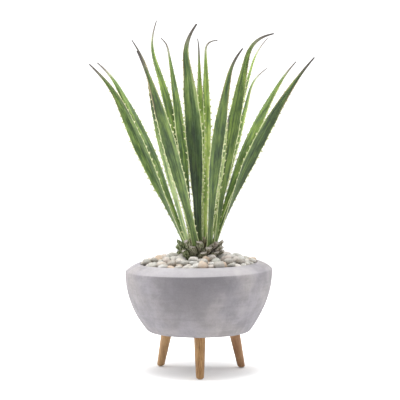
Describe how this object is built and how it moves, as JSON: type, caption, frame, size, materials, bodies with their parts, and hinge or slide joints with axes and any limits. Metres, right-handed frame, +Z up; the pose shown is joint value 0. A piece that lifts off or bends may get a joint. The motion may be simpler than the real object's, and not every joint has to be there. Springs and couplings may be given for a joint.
{
  "type": "potted agave",
  "caption": "Agave with long toothed strap leaves on a short cut trunk, growing through pebbles in a round fibre-cement bowl on splayed wooden legs.",
  "frame": {"origin": "on the floor under the middle of the planter, between the three feet", "axes": "+Z up; -Y is the front, where one leg stands; +X is to the right seen from the front"},
  "size_m": [0.7306, 0.4846, 1.162],
  "materials": {
    "fibre_cement": "matte, brushed and mottled light grey",
    "leg_wood": "oiled brown hardwood, satin",
    "zinc_steel": "zinc plated",
    "insert_metal": "cast-in threaded insert",
    "glide_plastic": "pale moulded nylon",
    "plug_rubber": "black stopper",
    "soil": "dark crumbly potting mix",
    "roots": "fibrous roots bound with soil",
    "pebbles": "tumbled cream, beige and grey stones",
    "trunk": "fibrous brown-olive trunk",
    "leaf": "waxy green with cream toothed margins and dry grey-brown tips",
    "cut_leaf_base": "dried olive to brown, pale cut faces"
  },
  "bodies": {
    "root": {"planter_bowl": "fibre_cement", "drain_plug": "plug_rubber", "leg_front": "leg_wood", "hanger_bolt_front": "zinc_steel", "threaded_insert_front": "insert_metal", "foot_glide_front": "glide_plastic", "leg_rear_right": "leg_wood", "hanger_bolt_rear_right": "zinc_steel", "threaded_insert_rear_right": "insert_metal", "foot_glide_rear_right": "glide_plastic", "leg_rear_left": "leg_wood", "hanger_bolt_rear_left": "zinc_steel", "threaded_insert_rear_left": "insert_metal", "foot_glide_rear_left": "glide_plastic", "potting_soil": "soil", "pebble_mulch": "pebbles", "root_ball": "roots", "stem": "trunk", "leaf_01": "leaf", "leaf_02": "leaf", "leaf_03": "leaf", "leaf_04": "leaf", "leaf_05": "leaf", "leaf_06": "leaf", "leaf_07": "leaf", "leaf_08": "leaf", "leaf_09": "leaf", "leaf_10": "leaf", "leaf_11": "leaf", "leaf_12": "leaf", "leaf_13": "leaf", "leaf_14": "leaf", "leaf_15": "leaf", "leaf_16": "leaf", "leaf_17": "leaf", "leaf_18": "leaf", "leaf_stub_01": "cut_leaf_base", "leaf_stub_02": "cut_leaf_base", "leaf_stub_03": "cut_leaf_base", "leaf_stub_04": "cut_leaf_base", "leaf_stub_05": "cut_leaf_base", "leaf_stub_06": "cut_leaf_base", "leaf_stub_07": "cut_leaf_base", "leaf_stub_08": "cut_leaf_base", "leaf_stub_09": "cut_leaf_base", "leaf_stub_10": "cut_leaf_base", "leaf_stub_11": "cut_leaf_base", "leaf_stub_12": "cut_leaf_base", "leaf_stub_13": "cut_leaf_base", "leaf_stub_14": "cut_leaf_base", "leaf_stub_15": "cut_leaf_base", "leaf_stub_16": "cut_leaf_base", "leaf_stub_17": "cut_leaf_base", "leaf_stub_18": "cut_leaf_base", "leaf_stub_19": "cut_leaf_base", "leaf_stub_20": "cut_leaf_base", "leaf_stub_21": "cut_leaf_base", "leaf_stub_22": "cut_leaf_base", "leaf_stub_23": "cut_leaf_base", "leaf_stub_24": "cut_leaf_base"}
  },
  "joints": []
}
